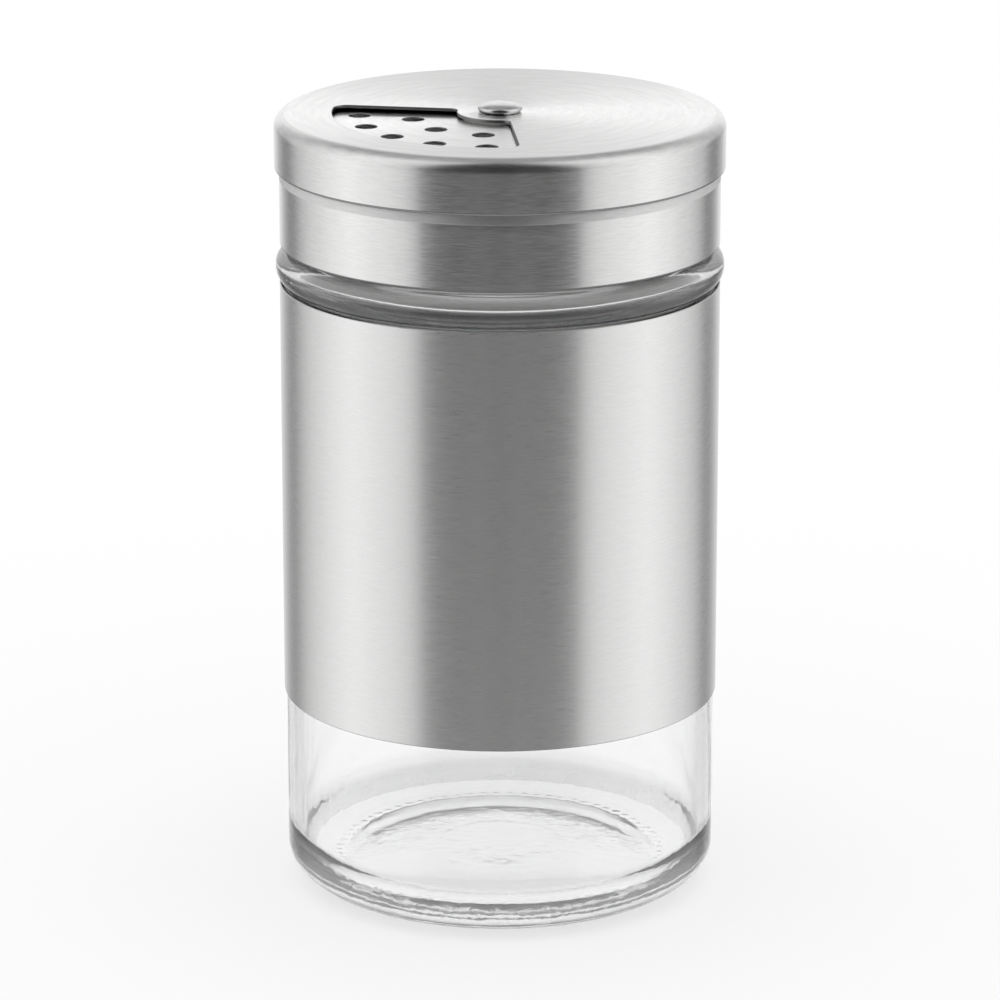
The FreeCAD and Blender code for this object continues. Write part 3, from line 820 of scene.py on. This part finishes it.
spring_finish = mottled(
    "Rolled spring steel", spring_light, spring_dark, spring_roughness, spring_cloud, metal=1.0)
glide_finish = mottled(
    "White washer plastic", plastic_light, plastic_dark, plastic_roughness, plastic_cloud)
for node in ("disc_spring", "backup_washer"):
    finish_node(node, spring_finish)
finish_node("glide_washer", glide_finish)


# Selector cap
# A second pressing of stainless sheet that turns on the rivet, with its lower edge folded inwards.
# Its one fan-shaped window is set over coarse holes, fine holes or blank plate.

cap_low, cap_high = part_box("selector_cap")
cap_radius = cap_high.x
cap_sheet = 0.00045
cap_hem = 0.0013
cap_corner_run = 0.0023
cap_corner_rise = 0.002
cap_bore = 0.00206
# Painted light on the cap's flat top: its colour is made 1.08 times as bright.
cap_painted_top_light = 1.08
window_outer = 0.0246
window_neck = 0.0063
window_offset = 0.0009
window_outer_round = 0.002
window_neck_round = 0.0012
window_half = 51.8
window_edge = 0.00012


def window_loop(grown, height):
    """The window's outline at one height, grown outwards by a little on every side."""
    outer, neck = window_outer + grown, window_neck - grown
    offset = window_offset + grown
    half = math.radians(window_half)
    away, aside = Vector((math.cos(half), math.sin(half))), Vector((-math.sin(half), math.cos(half)))
    side = []
    for rim, turning_in, size in (
            (neck, 1, window_neck_round + grown), (outer, -1, window_outer_round + grown)):
        reach = math.sqrt((rim + turning_in * size) ** 2 - (offset - size) ** 2)
        centre = away * reach + aside * (offset - size)
        on_rim = math.atan2(-centre.y * turning_in, -centre.x * turning_in)
        on_edge = math.atan2(aside.y, aside.x)
        swing = (on_edge - on_rim + math.pi) % (2 * math.pi) - math.pi
        corner = []
        for step in range(9):
            angle = on_rim + swing * step / 8
            corner.append(centre + size * Vector((math.cos(angle), math.sin(angle))))
        side += corner if turning_in == 1 else corner[::-1]
    rim_angle = math.atan2(side[-1].y, side[-1].x)
    neck_angle = math.atan2(side[0].y, side[0].x)
    outer_arc = [
        outer * Vector((math.cos(rim_angle * (1 - step / 20)), math.sin(rim_angle * (1 - step / 20))))
        for step in range(1, 40)]
    neck_arc = [
        neck * Vector((math.cos(neck_angle * (step / 10 - 1)), math.sin(neck_angle * (step / 10 - 1))))
        for step in range(1, 20)]
    mirrored = [Vector((point.x, -point.y)) for point in reversed(side)]
    loop = side + outer_arc + mirrored + neck_arc
    turn = math.radians(window_middle)
    return [
        (point.x * math.cos(turn) - point.y * math.sin(turn),
         point.x * math.sin(turn) + point.y * math.cos(turn), height)
        for point in loop]


def window_punch():
    """The cutter for the window, flared at the top of the sheet where the edge is deburred."""
    levels = [(0.0, cap_high.z - cap_sheet - punch_run), (0.0, cap_high.z - window_edge)]
    for step in range(1, 6):
        turn = math.pi / 2 * step / 5
        levels.append((
            window_edge * (1 - math.cos(turn)), cap_high.z - window_edge + window_edge * math.sin(turn)))
    levels.append((window_edge, cap_high.z + punch_run))
    loops = [window_loop(grown, height) for grown, height in levels]
    count = len(loops[0])
    corners = [corner for loop in loops for corner in loop]
    faces = [list(range(count)), [len(corners) - 1 - index for index in range(count)]]
    for level in range(len(loops) - 1):
        for index in range(count):
            after = (index + 1) % count
            low, high = level * count, (level + 1) * count
            faces.append([low + after, low + index, high + index, high + after])
    mesh = bpy.data.meshes.new("window punch")
    mesh.from_pydata(corners, [], faces)
    mesh.materials.append(cap_steel)
    mesh.polygons.foreach_set("use_smooth", [len(face) == 4 for face in faces])
    punch = bpy.data.objects.new("window punch", mesh)
    bpy.context.scene.collection.objects.link(punch)
    return punch


cap_steel = round_brushed_steel(
    "Brushed cap steel", pressed_steel_light, pressed_steel_dark, pressed_roughness, streak_roughness,
    cap_painted_top_light)
cap_inner = cap_radius - cap_sheet
cap_hem_inner = cap_inner - cap_sheet
cap_corner_low = cap_high.z - cap_corner_rise
cap_corner_in = cap_radius - cap_corner_run
cap_under = cap_high.z - cap_sheet
cap_outline = [(cap_hem_inner, cap_low.z + cap_sheet)]
cap_outline += bent(cap_outline[-1], (cap_hem_inner, cap_low.z), (cap_inner, cap_low.z), 6)
cap_outline += bent(cap_outline[-1], (cap_radius, cap_low.z), (cap_radius, cap_low.z + cap_sheet), 6)
cap_outline += straight(cap_outline[-1], (cap_radius, cap_corner_low), 6)
cap_outline += bent(cap_outline[-1], (cap_radius, cap_high.z), (cap_corner_in, cap_high.z), 14)
cap_outline += straight(cap_outline[-1], (cap_bore, cap_high.z), 2)
cap_outline += straight(cap_outline[-1], (cap_bore, cap_under), 1)
cap_outline += straight(cap_outline[-1], (cap_corner_in, cap_under), 2)
cap_outline += bent(cap_outline[-1], (cap_inner, cap_under), (cap_inner, cap_corner_low), 10)
cap_outline += straight(cap_outline[-1], (cap_inner, cap_low.z + cap_hem), 5)
cap_outline += straight(cap_outline[-1], (cap_hem_inner, cap_low.z + cap_hem), 1)

cap = turned_piece("cap_steel", cap_outline, cap_steel)
settle(cap)
cut_away(cap, [window_punch()])
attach(cap, "selector")
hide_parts("selector_cap")


# Pivot rivet
# A turned steel rivet through both pressings: a low domed head on the cap, and a tail that is
# upset under the washers so that the cap turns but can't be taken off.

rivet_low, rivet_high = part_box("pivot_rivet")
rivet_shank = 0.002
rivet_tail = 0.0031
rivet_tail_rise = 0.0008
head_gap = 0.00005
head_foot = 0.00308
head_wide = rivet_high.x
head_side = 0.00045
head_edge = 0.00012
rivet_light = (0.74, 0.74, 0.735)
rivet_dark = (0.62, 0.62, 0.617)
rivet_roughness = 0.16
rivet_cloud = 900.0
RIVET_STEPS = 120

head_bottom = cap_high.z + head_gap
head_middle = head_bottom + head_side
rivet_finish = mottled(
    "Polished rivet steel", rivet_light, rivet_dark, rivet_roughness, rivet_cloud, metal=1.0)
rivet_outline = [(0, rivet_low.z), (rivet_tail - head_edge, rivet_low.z)]
rivet_outline += bent(
    rivet_outline[-1], (rivet_tail, rivet_low.z), (rivet_tail, rivet_low.z + head_edge), 3)
rivet_outline += [
    (rivet_tail, rivet_low.z + rivet_tail_rise - head_edge),
    (rivet_tail - head_edge, rivet_low.z + rivet_tail_rise),
    (rivet_shank, rivet_low.z + rivet_tail_rise), (rivet_shank, head_bottom),
    (head_foot - head_edge, head_bottom)]
rivet_outline += bent(
    rivet_outline[-1], (head_foot, head_bottom), (head_foot + head_edge / 3, head_bottom + head_edge), 3)
rivet_outline += straight(rivet_outline[-1], (head_wide - head_edge / 3, head_middle - head_edge), 3)
rivet_outline += bent(
    rivet_outline[-1], (head_wide, head_middle), (head_wide - head_edge / 2, head_middle + head_edge), 3)
rivet_outline += bent(
    rivet_outline[-1], (head_wide - head_edge / 2, rivet_high.z), (0, rivet_high.z), 20)

rivet = turned_piece("rivet_steel", rivet_outline, rivet_finish, closed=False)
rivet.modifiers[0][steps_label] = RIVET_STEPS
even_shading(rivet)
settle(rivet)
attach(rivet, "lid")
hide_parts("pivot_rivet")


# Photo table and studio light
# A white table that runs out to pure white, and a studio that is seen only as light: dark in front
# round the camera, a tall soft box at each side, dimmer wings behind them and a white back wall.

WHITE = (1, 1, 1, 1)
table_radius = 3.0
table_drop = 0.0002
shadow_inner = 0.04
shadow_outer = 0.25
shadow_share = 0.35
table_white = 0.98
wall_lights = (
    (0, 0.04), (10, 0.07), (22, 0.05), (32, 0.09), (39, 0.20), (45, 0.62), (51, 0.83), (62, 0.97),
    (84, 1.15), (97, 1.02), (112, 0.82), (124, 0.63), (130, 0.44), (136, 0.25), (143, 0.26),
    (151, 0.46), (161, 0.78), (172, 1.0), (180, 1.06))
upper_lights = (
    (0, 0.04), (30, 0.06), (39, 0.20), (45, 0.58), (52, 0.80), (70, 1.0), (85, 1.08), (105, 0.88),
    (125, 0.70), (138, 0.55), (150, 0.65), (165, 0.98), (180, 1.04))
overhead = 0.4
ceiling_lean = 30.0
underneath = 0.85
wall_foot = (-46, -12)
wall_middle = (-9, 2)
overhead_edge = (50, 68)
table_glow = 1.0
backdrop_share = 0.784


def grey(level):
    """A neutral colour of the given brightness."""
    return (level, level, level, 1)


def light_by_direction(tree, turned, levels):
    """A ramp of light levels over the angle from the front, in degrees, alike on both sides."""
    ramp = tree.nodes.new("ShaderNodeValToRGB")
    ramp.color_ramp.interpolation = "EASE"
    stops = ramp.color_ramp.elements
    while len(stops) < len(levels):
        stops.new(0.5)
    for stop, (angle, level) in zip(stops, levels):
        stop.position = angle / 180
        stop.color = grey(level)
    tree.links.new(turned, ramp.inputs[0])
    return ramp.outputs[0]


def studio_world():
    """White to the camera; to everything else, the studio's lights by direction."""
    world = bpy.data.worlds.new("Studio")
    world.use_nodes = True
    tree = world.node_tree
    tree.nodes.clear()
    looking = tree.nodes.new("ShaderNodeTexCoord").outputs["Generated"]
    parts = tree.nodes.new("ShaderNodeSeparateXYZ")
    tree.links.new(looking, parts.inputs[0])
    x, y, z = parts.outputs
    ahead = math_node(tree, "DIVIDE", math_node(tree, "MULTIPLY", y, -1.0), distance_out(tree, x, y))
    turned = math_node(tree, "DIVIDE", math_node(tree, "ARCCOSINE", ahead), math.pi)
    height = math_node(tree, "ARCSINE", z)
    lean = math.radians(ceiling_lean)
    overhead_way = math_node(tree, "ADD", math_node(tree, "MULTIPLY", z, math.cos(lean)),
                             math_node(tree, "MULTIPLY", y, math.sin(lean)))
    patch = math_node(tree, "ARCSINE", overhead_way)
    walls = light_by_direction(tree, turned, wall_lights)
    upper = light_by_direction(tree, turned, upper_lights)

    def blended(low, high, span, angle):
        """Change from one light to the other over a span of an angle, given in degrees."""
        start, end = (math.radians(edge) for edge in span)
        share = add(tree, "ShaderNodeMapRange", angle, start, end, 0.0, 1.0,
                    interpolation_type="SMOOTHSTEP")
        return mixed(tree, share, low, high)

    studio = blended(grey(underneath), walls, wall_foot, height)
    studio = blended(studio, upper, wall_middle, height)
    studio = blended(studio, grey(overhead), overhead_edge, patch)
    ray = tree.nodes.new("ShaderNodeLightPath").outputs
    seen = add(tree, "ShaderNodeBackground", WHITE, 1.0)
    paled = math_node(tree, "MULTIPLY", ray["Is Transmission Ray"], backdrop_share)
    lit = add(tree, "ShaderNodeBackground", mixed(tree, paled, studio, WHITE), 1.0)
    soft = add(tree, "ShaderNodeBackground", WHITE, table_glow)
    both = add(tree, "ShaderNodeMixShader", ray["Is Diffuse Ray"], lit, soft)
    both = add(tree, "ShaderNodeMixShader", ray["Is Camera Ray"], both, seen)
    tree.links.new(both, tree.nodes.new("ShaderNodeOutputWorld").inputs[0])
    return world


def table_finish():
    """White laminate that takes the soft shadow and fades to pure white away from the jar."""
    material, tree, shader, place = new_material("White table")
    tree.nodes.remove(shader)
    parts = tree.nodes.new("ShaderNodeSeparateXYZ")
    tree.links.new(place, parts.inputs[0])
    x, y, z = parts.outputs
    run = distance_out(tree, x, y)
    far = add(tree, "ShaderNodeMapRange", run, shadow_inner, shadow_outer, 1.0 - shadow_share, 1.0,
              interpolation_type="SMOOTHSTEP")
    near = add(tree, "ShaderNodeBsdfDiffuse", grey(table_white))
    white = add(tree, "ShaderNodeEmission", WHITE, 1.0)
    shown = add(tree, "ShaderNodeMixShader", far, near, white)
    clear = add(tree, "ShaderNodeBsdfTransparent", WHITE)
    camera_ray = tree.nodes.new("ShaderNodeLightPath").outputs["Is Camera Ray"]
    both = add(tree, "ShaderNodeMixShader", camera_ray, clear, shown)
    tree.links.new(both, tree.nodes["Material Output"].inputs[0])
    return material


scene = bpy.context.scene
scene.world = studio_world()
table_mesh = bpy.data.meshes.new("table")
table_turns = [math.radians(angle) for angle in range(0, 360, 5)]
table_points = [
    (table_radius * math.cos(turn), table_radius * math.sin(turn), -table_drop) for turn in table_turns]
table_mesh.from_pydata(table_points, [], [list(range(len(table_points)))])
table_mesh.materials.append(table_finish())
table = bpy.data.objects.new("table", table_mesh)
scene.collection.objects.link(table)


# Camera
# The photograph's own view: a long lens in front of the jar, a little above its lid, that looks
# down on it.

camera_back = 0.7470
camera_height = 0.2773
camera_pitch = 16.343
camera_lens = 187.366
camera_sensor = 36.0

camera_data = bpy.data.cameras.new("Camera")
camera_data.lens = camera_lens
camera_data.sensor_width = camera_sensor
camera_data.sensor_fit = "HORIZONTAL"
camera_data.clip_start = 0.01
camera = bpy.data.objects.new("Camera", camera_data)
camera.location = (0, -camera_back, camera_height)
camera.rotation_euler = (math.radians(90 - camera_pitch), 0, 0)
scene.collection.objects.link(camera)
scene.camera = camera

scene.view_settings.view_transform = "Standard"
